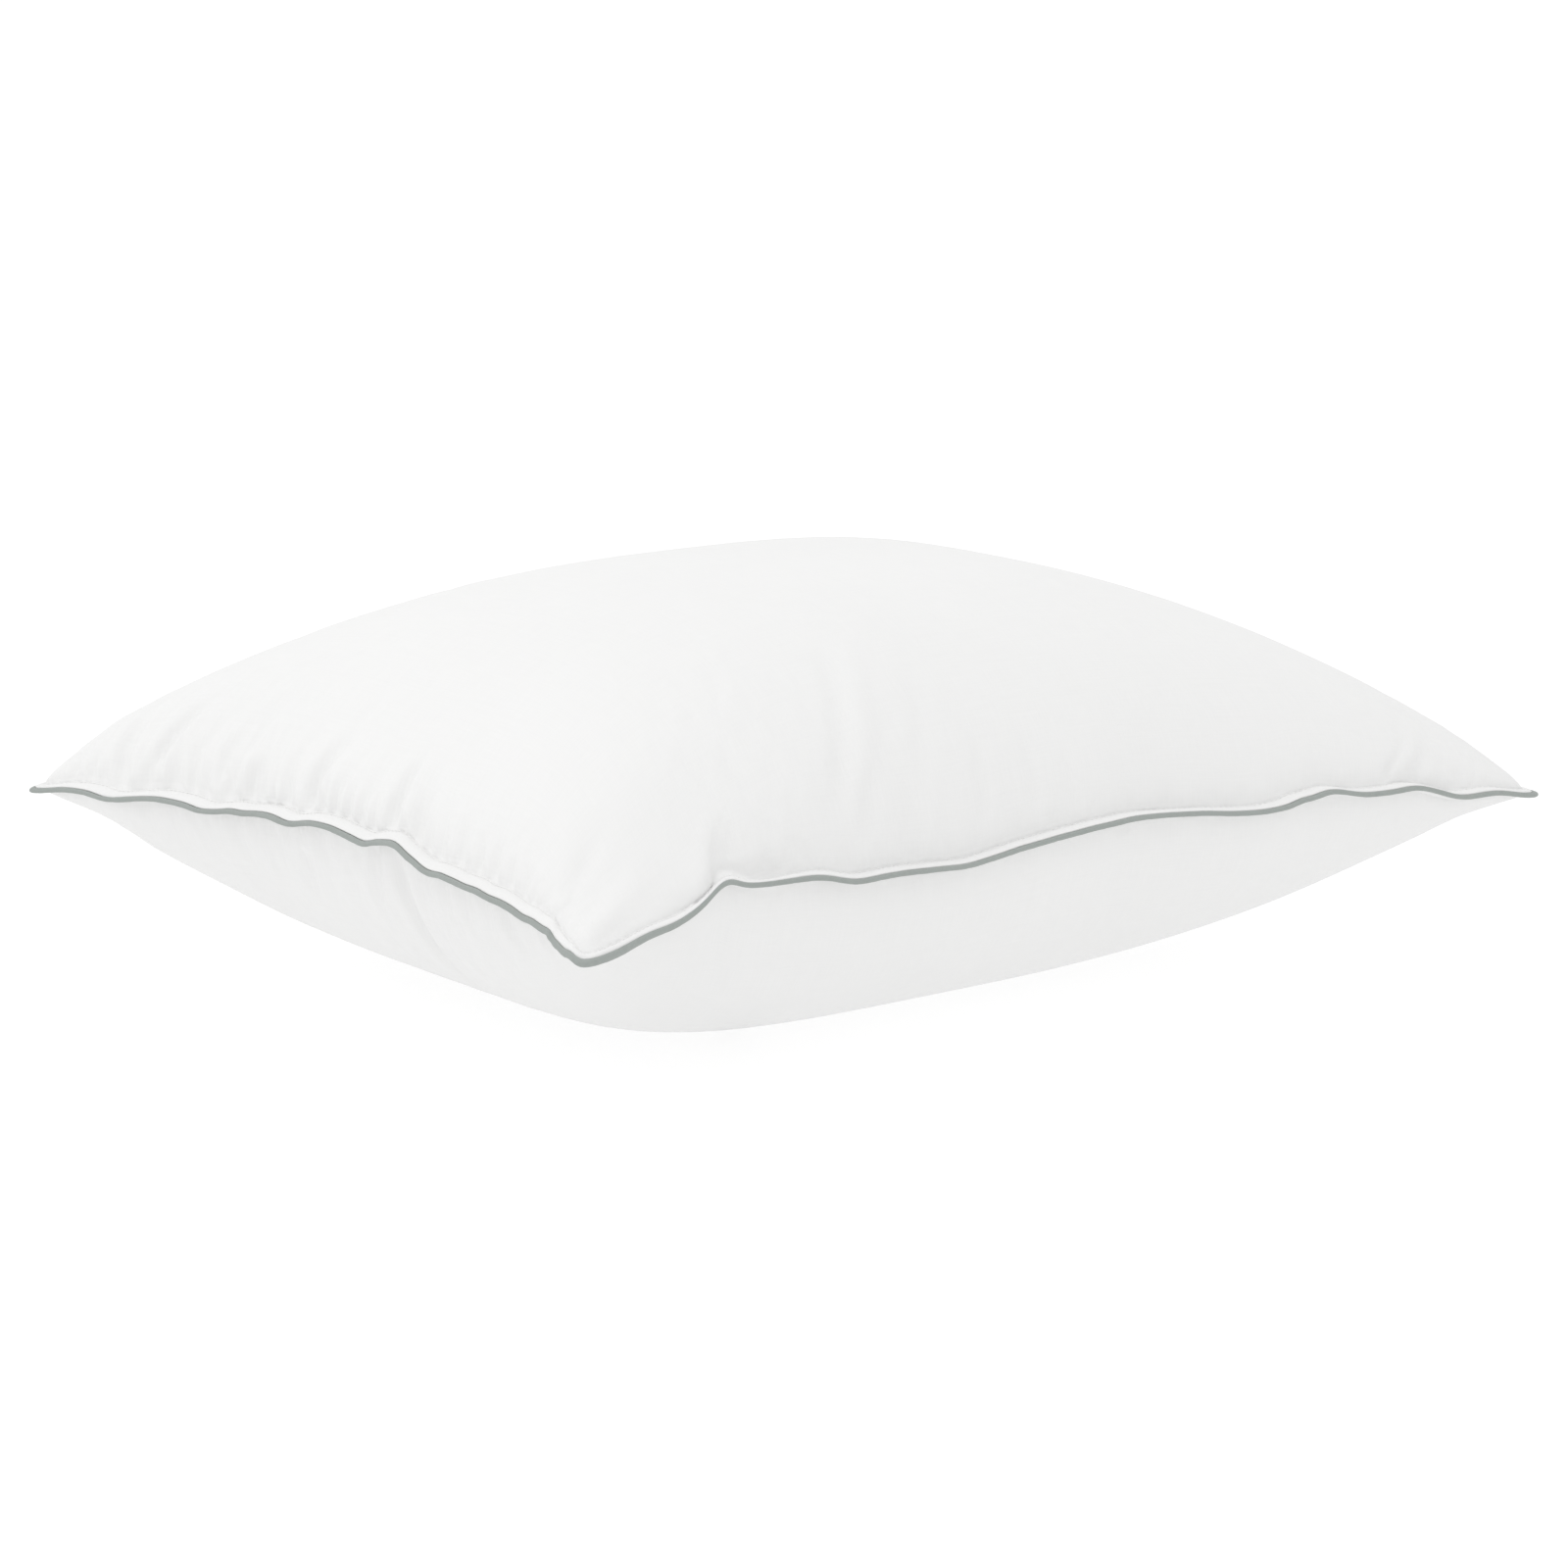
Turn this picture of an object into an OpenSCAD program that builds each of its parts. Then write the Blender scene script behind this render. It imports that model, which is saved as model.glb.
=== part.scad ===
// Bed pillow: two cotton panels sewn face to face round a corded, piped edge and
// stuffed with loose fibre. X runs along the long sides, Y across, Z up. The origin is
// the centre of the footprint, on the surface that the pillow rests on.

/* [Shape] */
// Reach of the long sides, before the corners are rounded
length = 580; // [420:2:900]
// Reach of the short sides, before the corners are rounded
width = 485; // [340:1:700]
// Height of the crown above the resting surface
crown_height = 202; // [140:1:260]
// Height of the seam at the corners
seam_height = 89; // [60:1:120]
// How much higher the seam runs halfway along a long side
side_lift = 4; // [0:1:15]
// How much higher the seam runs halfway along a short end
end_lift = 2; // [0:1:15]
// How far each long side is drawn in at its middle
side_pinch = 50; // [10:1:70]
// How far each short end is drawn in at its middle
end_pinch = 39; // [10:1:60]
// How far the underside would sag below the surface if nothing held it up
sink = 10; // [7:1:20]

/* [Cloth] */
// Thickness of the shell cotton
cloth_t = 0.4; // [0.2:0.05:0.6]
// Width of the flat, stitched border inside the piping
border_w = 6; // [4:0.5:12]
// Width of the turned-in seam allowance
allowance_w = 10; // [8:0.5:14]

/* [Piping] */
// Diameter of the filler cord
cord_d = 2.2; // [1.6:0.1:5]
// Thickness of the bias tape round the cord
tape_t = 0.3; // [0.2:0.05:0.5]

/* [Sewing] */
// Diameter of the sewing thread
thread_d = 0.4; // [0.3:0.05:0.5]
// Length of the opening that is sewn shut after stuffing
closing_len = 160; // [80:5:220]
// Width of the care label
label_w = 25; // [15:1:40]
// How far the care label hangs out past the piping
label_out = 30; // [15:1:34]

/* [Hidden] */

white_cotton = [0.95, 0.95, 0.94];
grey_tape = [0.62, 0.66, 0.65];
undyed_cord = [0.90, 0.88, 0.83];
white_thread = [0.97, 0.97, 0.97];
label_satin = [0.96, 0.96, 0.95];
fibre = [0.98, 0.98, 0.97];

// Segments on each side of the outline, rings from rim to crown, and sides of a thread
side_steps = 20;
dome_steps = 10;
thread_sides = 6;
cord_sides = 10;

// Fullness of the crown across the panel, and steepness where it leaves the border
crown_power = 2.7;
rim_power = 0.48;
// Power of the inward curve of the sides; size and tightness of the rounded corners
pinch_power = 2.2;
corner_cut = 5;
corner_power = 60;
// Band of heights over which the underside eases onto the surface
ease = 6;
// Air left between neighbouring layers of cloth, round the cord and round the stuffing
gap = 0.05;
cord_gap = 0.12;
fill_gap = 0.3;

// Heights of the layers above the middle of the seam, and where the layers start
tape_top = tape_t + gap / 2;
allowance_under = tape_top + gap;
allowance_top = allowance_under + cloth_t;
border_under = allowance_top + thread_d + 2 * gap;
border_top = border_under + cloth_t;
cord_r = cord_d / 2;
tape_in_r = cord_r + cord_gap;
tape_out_r = tape_in_r + tape_t;
border_start = tape_out_r + gap;
border_end = border_start + border_w;
allowance_end = border_start + allowance_w;
seam_line = border_start + 1;
topstitch_line = border_end - 1;

// Points round the unit square, crowded towards its corners
function side_point(i) = sin(90 * (2 * i / side_steps - 1));
outline_uv = concat(
    [for (i = [0 : side_steps - 1]) [side_point(i), -1]],
    [for (i = [0 : side_steps - 1]) [1, side_point(i)]],
    [for (i = [0 : side_steps - 1]) [-side_point(i), 1]],
    [for (i = [0 : side_steps - 1]) [-1, -side_point(i)]]);
ring_n = len(outline_uv);

// Plan of the pillow: the unit square, with its sides drawn in and its corners rounded
function reach(half, pinch, across) =
    half - pinch * (1 - pow(abs(across), pinch_power)) - corner_cut * pow(abs(across), corner_power);
function plan(p, inset) = [
    p[0] * (reach(length / 2, end_pinch, p[1]) - inset),
    p[1] * (reach(width / 2, side_pinch, p[0]) - inset)];

// Height of the seam at a point of the outline
function seam_z(p) = seam_height
    + side_lift * (1 - pow(p[0], 2)) * pow(abs(p[1]), 4)
    + end_lift * (1 - pow(p[1], 2)) * pow(abs(p[0]), 4);

// Share of the full height at a point of the panel, 0 on the border and 1 at the crown
function crown(p) = pow(max(0, (1 - pow(abs(p[0]), crown_power)) * (1 - pow(abs(p[1]), crown_power))),
    rim_power);
// Heights under the surface are laid flat on it, with an eased edge
function rest(z) = z < -ease ? 0 : z > ease ? z : pow(z + ease, 2) / (4 * ease);

// One ring of a panel at share rho of the way from the crown to the rim
function top_ring(rho, inset, base, peak) = [for (p = outline_uv)
    let (h = crown(rho * p), rim = seam_z(p) + base, at = plan(rho * p, inset))
    [at[0], at[1], rim + (peak - rim) * h]];
function bottom_ring(rho, inset, base, lift) = [for (p = outline_uv)
    let (h = crown(rho * p), rim = seam_z(p) - base - lift, at = plan(rho * p, inset))
    [at[0], at[1], lift + rest(rim - (rim + sink) * h)]];
// One ring along the edge, at an inset from the outline and a height from the seam
function edge_ring(at) = [for (p = outline_uv)
    let (xy = plan(p, at[0])) [xy[0], xy[1], seam_z(p) + at[1]]];
function flip(profile) = [for (at = profile) [at[0], -at[1]]];
function dome_share(i) = sin(90 * i / dome_steps);

// Two triangles for each step round the band between two rings. A turned band is split
// along the other diagonal, so that the two faces of a cloth are split alike.
function band_faces(a, b, turned = false) = [for (k = [0 : ring_n - 1])
    let (n = (k + 1) % ring_n, from_k = a * ring_n + k, from_n = a * ring_n + n,
        to_k = b * ring_n + k, to_n = b * ring_n + n)
    each turned ? [[from_k, to_k, from_n], [to_k, to_n, from_n]]
        : [[from_k, to_k, to_n], [from_k, to_n, from_n]]];

// A solid skinned over rings that close on themselves, such as a cord round the edge
module loop_solid(rings) {
    count = len(rings);
    polyhedron(
        points = [for (ring = rings) each ring],
        faces = [for (j = [0 : count - 1]) each band_faces(j, (j + 1) % count)]);
}

// A solid skinned from a first middle point out over rings and back to a last middle point
module dome_solid(first, rings, last) {
    count = len(rings);
    ring_points = [for (ring = rings) each ring];
    start = len(ring_points);
    polyhedron(
        points = concat(ring_points, [first, last]),
        faces = concat(
            [for (k = [0 : ring_n - 1]) [start, (k + 1) % ring_n, k]],
            [for (j = [0 : count - 2]) each band_faces(j + 1, j, j >= count / 2)],
            [for (k = [0 : ring_n - 1])
                [start + 1, (count - 1) * ring_n + k, (count - 1) * ring_n + (k + 1) % ring_n]]));
}

// Turns a cross-section of the edge, points of inset and height, into a closed ring
module edge_solid(profile) {
    loop_solid([for (at = profile) edge_ring(at)]);
}

function circle_profile(inset, z, r, sides) =
    [for (i = [0 : sides - 1]) let (a = -360 * i / sides) [inset + r * cos(a), z + r * sin(a)]];

// The hidden hem of a panel: border, fold behind the piping and seam allowance
hem = [
    [border_start, border_top],
    [border_start, allowance_under],
    [allowance_end, allowance_under],
    [allowance_end, allowance_top],
    [border_start + cloth_t, allowance_top],
    [border_start + cloth_t, border_under]];

module top_panel() {
    outer = [for (i = [1 : dome_steps]) top_ring(dome_share(i), border_end, border_top, crown_height)];
    inner = [for (i = [dome_steps : -1 : 1])
        top_ring(dome_share(i), border_end + cloth_t, border_under, crown_height - cloth_t)];
    color(white_cotton)
        dome_solid(
            [0, 0, crown_height],
            concat(outer, [for (at = hem) edge_ring(at)], inner),
            [0, 0, crown_height - cloth_t]);
}

module bottom_panel() {
    inner = [for (i = [1 : dome_steps])
        bottom_ring(dome_share(i), border_end + cloth_t, border_under, cloth_t)];
    outer = [for (i = [dome_steps : -1 : 1]) bottom_ring(dome_share(i), border_end, border_top, 0)];
    folded = flip([for (i = [len(hem) - 1 : -1 : 0]) hem[i]]);
    color(white_cotton)
        dome_solid([0, 0, cloth_t], concat(inner, [for (at = folded) edge_ring(at)], outer), [0, 0, 0]);
}

// The stuffing fills the shell and leaves a groove for the seam allowances
module filling() {
    inset = border_end + cloth_t + fill_gap;
    groove_out = inset + 1.5;
    groove_in = allowance_end + 1;
    groove_z = border_under + 0.2;
    top = [for (i = [1 : dome_steps - 1])
        top_ring(dome_share(i), inset, border_under - fill_gap, crown_height - cloth_t - fill_gap)];
    bottom = [for (i = [dome_steps - 1 : -1 : 1])
        bottom_ring(dome_share(i), inset, border_under - fill_gap, cloth_t + fill_gap)];
    groove = [[groove_out, groove_z], [groove_in, groove_z], [groove_in, -groove_z], [groove_out, -groove_z]];
    color(fibre)
        dome_solid(
            [0, 0, crown_height - cloth_t - fill_gap],
            concat(top, [for (at = groove) edge_ring(at)], bottom),
            [0, 0, cloth_t + fill_gap]);
}

module piping_cord() {
    color(undyed_cord) edge_solid(circle_profile(0, 0, cord_r, cord_sides));
}

// A strip folded round the cord, its two tails lying together in the seam
module piping_tape() {
    slit = gap / 2;
    steps = 9;
    function arc(r, mouth_z) = [for (i = [0 : steps])
        let (mouth = asin(mouth_z / r), a = mouth + (360 - 2 * mouth) * i / steps)
        r * [cos(a), sin(a)]];
    outside = arc(tape_out_r, tape_top);
    inside = arc(tape_in_r, slit);
    profile = concat(
        [[allowance_end, tape_top]],
        outside,
        [[allowance_end, -tape_top], [allowance_end, -slit]],
        [for (i = [steps : -1 : 0]) inside[i]],
        [[allowance_end, slit]]);
    color(grey_tape) edge_solid([for (i = [len(profile) - 1 : -1 : 0]) profile[i]]);
}

// The hidden row that sews both panels to the tape, with a thread on each face
module seam_thread() {
    z = allowance_top + gap / 2 + thread_d / 2;
    color(white_thread)
        for (side = [-1, 1])
            edge_solid(circle_profile(seam_line, side * z, thread_d / 2, thread_sides));
}

// The overcast thread that wraps the raw edges of the seam allowances
module overlock_thread() {
    t = thread_d / 2;
    in = allowance_end - 2.5;
    out = allowance_end + gap;
    z = allowance_top + gap;
    color(white_thread)
        edge_solid([[in, z], [in, z + t], [out + t, z + t], [out + t, -z - t], [in, -z - t], [in, -z],
            [out, -z], [out, z]]);
}

// The visible row along the border: the needle's thread above and the bobbin's below
module topstitch_needle_thread() {
    color(white_thread)
        edge_solid(circle_profile(topstitch_line, border_top + gap + thread_d / 2, thread_d / 2, thread_sides));
}

module topstitch_bobbin_thread() {
    color(white_thread)
        edge_solid(circle_profile(topstitch_line, -border_top - gap - thread_d / 2, thread_d / 2, thread_sides));
}

// A thread that runs through points, with a flat end
module thread_run(path) {
    count = len(path);
    polyhedron(
        points = [for (p = path) for (i = [0 : thread_sides - 1])
            let (a = 360 * i / thread_sides)
            [p[0] + thread_d / 2 * cos(a), p[1], p[2] + thread_d / 2 * sin(a)]],
        faces = concat(
            [[for (i = [thread_sides - 1 : -1 : 0]) i]],
            [for (j = [0 : count - 2]) for (i = [0 : thread_sides - 1])
                let (n = (i + 1) % thread_sides)
                each [[j * thread_sides + i, (j + 1) * thread_sides + n, (j + 1) * thread_sides + i],
                    [j * thread_sides + i, j * thread_sides + n, (j + 1) * thread_sides + n]]],
            [[for (i = [0 : thread_sides - 1]) (count - 1) * thread_sides + i]]));
}

// The row that shuts the stuffing opening, at the middle of the right-hand end
module closing_thread() {
    steps = 12;
    line = border_start + 2.5;
    z = border_top + gap + thread_d / 2;
    color(white_thread)
        for (side = [-1, 1])
            thread_run([for (i = [0 : steps])
                let (p = [1, closing_len / width * (2 * i / steps - 1)], at = plan(p, line))
                [at[0], at[1], seam_z(p) + side * z]]);
}

// A blank satin label, folded in half and caught under the border at the back
module care_label() {
    t = 0.15;
    fold = 0.2;
    drop = 8;
    edge_y = width / 2 - side_pinch;
    z = seam_height + side_lift - border_top - 2 * gap - thread_d;
    sewn_y = edge_y - border_end + 0.3;
    end_y = edge_y + label_out;
    under_z = z - 2 * t - fold;
    color(label_satin)
        translate([label_w / 2, 0, 0])
            rotate([90, 0, -90])
                linear_extrude(label_w)
                    polygon([
                        [-sewn_y, z], [-edge_y - tape_out_r, z - 1], [-end_y, z - drop],
                        [-end_y - 2 * t, z - drop - t - fold / 2], [-end_y, z - drop - 2 * t - fold],
                        [-edge_y - tape_out_r, under_z - 1], [-sewn_y, under_z],
                        [-sewn_y, under_z + t], [-edge_y - tape_out_r, under_z - 1 + t],
                        [-end_y, z - drop - t - fold], [-end_y, z - drop - t],
                        [-edge_y - tape_out_r, z - 1 - t], [-sewn_y, z - t]]);
}

filling();
bottom_panel();
top_panel();
piping_cord();
piping_tape();
seam_thread();
overlock_thread();
topstitch_needle_thread();
topstitch_bobbin_thread();
closing_thread();
care_label();
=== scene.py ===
import math

import bpy
import numpy as np
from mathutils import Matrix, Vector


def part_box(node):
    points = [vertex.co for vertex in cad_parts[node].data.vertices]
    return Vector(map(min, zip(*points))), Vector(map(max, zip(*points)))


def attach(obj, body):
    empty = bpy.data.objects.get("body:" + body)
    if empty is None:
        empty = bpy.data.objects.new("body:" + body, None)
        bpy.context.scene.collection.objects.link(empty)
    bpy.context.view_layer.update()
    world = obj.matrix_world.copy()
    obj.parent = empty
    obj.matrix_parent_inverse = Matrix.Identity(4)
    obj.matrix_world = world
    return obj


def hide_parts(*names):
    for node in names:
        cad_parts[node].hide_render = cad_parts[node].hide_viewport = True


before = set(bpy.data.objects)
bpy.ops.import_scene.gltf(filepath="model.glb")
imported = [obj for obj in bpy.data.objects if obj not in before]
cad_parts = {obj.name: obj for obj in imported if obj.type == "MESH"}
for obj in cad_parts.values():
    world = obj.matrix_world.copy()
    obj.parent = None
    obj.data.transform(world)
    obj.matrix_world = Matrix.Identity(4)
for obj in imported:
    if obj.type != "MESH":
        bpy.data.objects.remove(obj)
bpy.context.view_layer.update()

# ---------------- sizes, in metres
cord_low, cord_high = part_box("piping_cord")
top_low, top_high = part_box("top_panel")
label_low, label_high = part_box("care_label")

# The sides of the pillow: west and east are the short ones, south is the long front one
WEST, EAST, SOUTH, NORTH = "west", "east", "south", "north"

CORD_R = 0.00088
TAPE_R = 0.00120
TAPE_T = 0.0003
CLOTH_T = 0.0004
# How far a panel's inner face lies under its outer one, clear of the wrinkles
INNER_GAP = 0.0010
THREAD_R = 0.0002
STITCH = 0.0030
OVERLOCK_STITCH = 0.0026
# Spacing of the rings that the tape and its cord are made of, and the twists in the cord
TAPE_RING = 0.0014
CORD_RING = 0.0016
CORD_TWISTS = 260
# Where the opening is sewn shut, as shares of the seam
CLOSING_FROM, CLOSING_TO = 0.345, 0.420

# The layers of the edge: insets from the piping, and heights above the seam's middle
TAPE_TOP = 0.00033
ALLOWANCE_TOP = 0.00078
BORDER_UNDER = 0.00128
BORDER_TOP = 0.00168
BORDER_START = 0.0013
BORDER_END = 0.0076
ALLOWANCE_END = 0.0116
SEAM_LINE = BORDER_START + 0.0010
CLOSING_LINE = BORDER_START + 0.0025
TOPSTITCH_LINE = BORDER_END - 0.0010
# Where along the seam the ends of the tape overlap
TAPE_JOIN = 0.982

# The stuffed shape
HALF_LENGTH = cord_high.x + 0.0025
HALF_WIDTH = cord_high.y + 0.0029
END_PINCH = 0.039
SIDE_PINCH = 0.050
PINCH_POWER = 2.2
CORNER_CUT = 0.004
CORNER_POWER = 80
CROWN_POWER = 2.7
RIM_POWERS = (0.48, 0.45)
CROWN_HEIGHT = top_high.z
SEAM_HEIGHT = (cord_low.z + cord_high.z) / 2 - 0.002
SIDE_LIFT = 0.004
END_LIFT = 0.002
SINK = 0.010
EASE = 0.006
CORNER_NARROWING = 0.5
# The sewn edge droops outwards, so it climbs this much for each metre of inset
EDGE_TILTS = {WEST: 0.45, EAST: 0.35, SOUTH: 0.14, NORTH: 0.25}

# The flat cut of a panel, seam to seam, and the cells of cloth that it is simulated with
CUT_LENGTH = 0.600
CUT_WIDTH = 0.500
CELLS_X = 280
CELLS_Y = 232

# Where the seam rides up, or down, between its corners: side, place along the side from
# -1 to 1, half width there, rise, and how far it is drawn in
SEAM_WAVES = [
    (SOUTH, -0.850, 0.060, 0.0026, 0.0000),
    (SOUTH, -0.760, 0.045, 0.0022, 0.0000),
    (SOUTH, -0.672, 0.060, 0.0092, 0.0030),
    (SOUTH, -0.635, 0.030, -0.0012, 0.0000),
    (SOUTH, -0.580, 0.130, 0.0070, 0.0010),
    (SOUTH, -0.460, 0.050, 0.0015, 0.0000),
    (SOUTH, -0.360, 0.060, -0.0020, 0.0000),
    (SOUTH, -0.160, 0.130, -0.0056, -0.0010),
    (SOUTH, -0.190, 0.060, 0.0010, 0.0000),
    (SOUTH, 0.000, 0.050, -0.0007, 0.0000),
    (SOUTH, 0.240, 0.130, 0.0028, 0.0010),
    (SOUTH, 0.470, 0.060, -0.0016, 0.0000),
    (SOUTH, 0.560, 0.020, 0.0010, 0.0000),
    (SOUTH, 0.625, 0.055, 0.0048, 0.0015),
    (SOUTH, 0.710, 0.030, 0.0008, 0.0000),
    (SOUTH, 0.775, 0.060, 0.0042, 0.0000),
    (SOUTH, 0.860, 0.045, -0.0026, 0.0000),
    (SOUTH, 0.940, 0.045, 0.0022, 0.0000),
    (WEST, -0.980, 0.035, 0.0060, 0.0000),
    (WEST, -0.872, 0.022, -0.0018, 0.0000),
    (WEST, -0.850, 0.050, 0.0028, 0.0010),
    (WEST, -0.755, 0.045, 0.0014, 0.0000),
    (WEST, -0.690, 0.050, -0.0008, 0.0000),
    (WEST, -0.660, 0.220, 0.0032, 0.0000),
    (WEST, -0.440, 0.130, 0.0014, 0.0000),
    (WEST, -0.350, 0.035, 0.0012, 0.0000),
    (WEST, -0.213, 0.030, -0.0015, 0.0000),
    (WEST, -0.095, 0.030, 0.0010, 0.0000),
    (WEST, -0.170, 0.080, 0.0080, 0.0015),
    (WEST, 0.060, 0.130, 0.0060, 0.0000),
    (WEST, 0.120, 0.060, 0.0014, 0.0000),
    (WEST, 0.290, 0.080, 0.0028, 0.0010),
    (WEST, 0.400, 0.030, 0.0010, 0.0000),
    (WEST, 0.500, 0.060, -0.0010, 0.0000),
    (WEST, 0.765, 0.085, -0.0042, -0.0010),
    (NORTH, -0.780, 0.070, 0.0030, 0.0000),
    (NORTH, -0.520, 0.060, 0.0065, 0.0030),
    (NORTH, -0.450, 0.150, 0.0035, 0.0000),
    (NORTH, -0.120, 0.120, -0.0035, 0.0000),
    (NORTH, 0.180, 0.060, 0.0025, 0.0010),
    (NORTH, 0.480, 0.080, 0.0050, 0.0020),
    (NORTH, 0.640, 0.060, -0.0020, 0.0000),
    (NORTH, 0.820, 0.070, 0.0025, 0.0000),
    (EAST, -0.700, 0.080, 0.0030, 0.0000),
    (EAST, -0.420, 0.070, 0.0045, 0.0020),
    (EAST, -0.100, 0.120, -0.0025, 0.0000),
    (EAST, 0.240, 0.070, 0.0040, 0.0015),
    (EAST, 0.460, 0.060, -0.0015, 0.0000),
    (EAST, 0.700, 0.100, 0.0035, 0.0010)]

# Small unevenness of the whole seam: how far it rises, and is drawn in
UNEVEN_RISE = 0.0001
UNEVEN_DRAW = 0.0002

# How far each corner droops, and is blunted: its u and v, the drop, and the cut each way
CORNER_DROOPS = [(-1, 1, 0.0065, 0.0018), (1, -1, 0.0030, 0), (1, 1, 0.0040, 0.0010)]

# Where the cloth rises more gently from the seam: panel (0 top, 1 bottom), u, v, half widths
# there, and what is added to the power of the rim; below 0 it rises more steeply
SOFT_RIMS = [
    (0, -1, -1, 0.28, 0.28, 0.20),
    (0, -0.85, -1, 0.25, 0.15, 0.20),
    (0, -1, 0, 0.30, 0.45, 0.10),
    (0, 1, 0.10, 0.30, 0.45, 0.06),
    (0, -1, 0.80, 0.40, 0.30, -0.03),
    (0, 1, -0.60, 0.40, 0.40, -0.03),
    (1, -1, -1, 0.28, 0.28, 0.20),
    (1, -1, 1, 0.30, 0.30, 0.06),
    (1, 1, -1, 0.30, 0.30, 0.08),
    (1, 1, 1, 0.30, 0.30, 0.08),
    (1, 0.30, -1, 0.50, 0.40, 0.04)]

# Where the sewn edge is turned under: side, place, half width, and change of its climb
TURNED_UNDER = [
    (SOUTH, -0.600, 0.100, -0.35),
    (SOUTH, 0.300, 0.080, -0.12),
    (NORTH, -0.450, 0.120, -0.30),
    (EAST, 0.300, 0.100, -0.20)]

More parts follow.
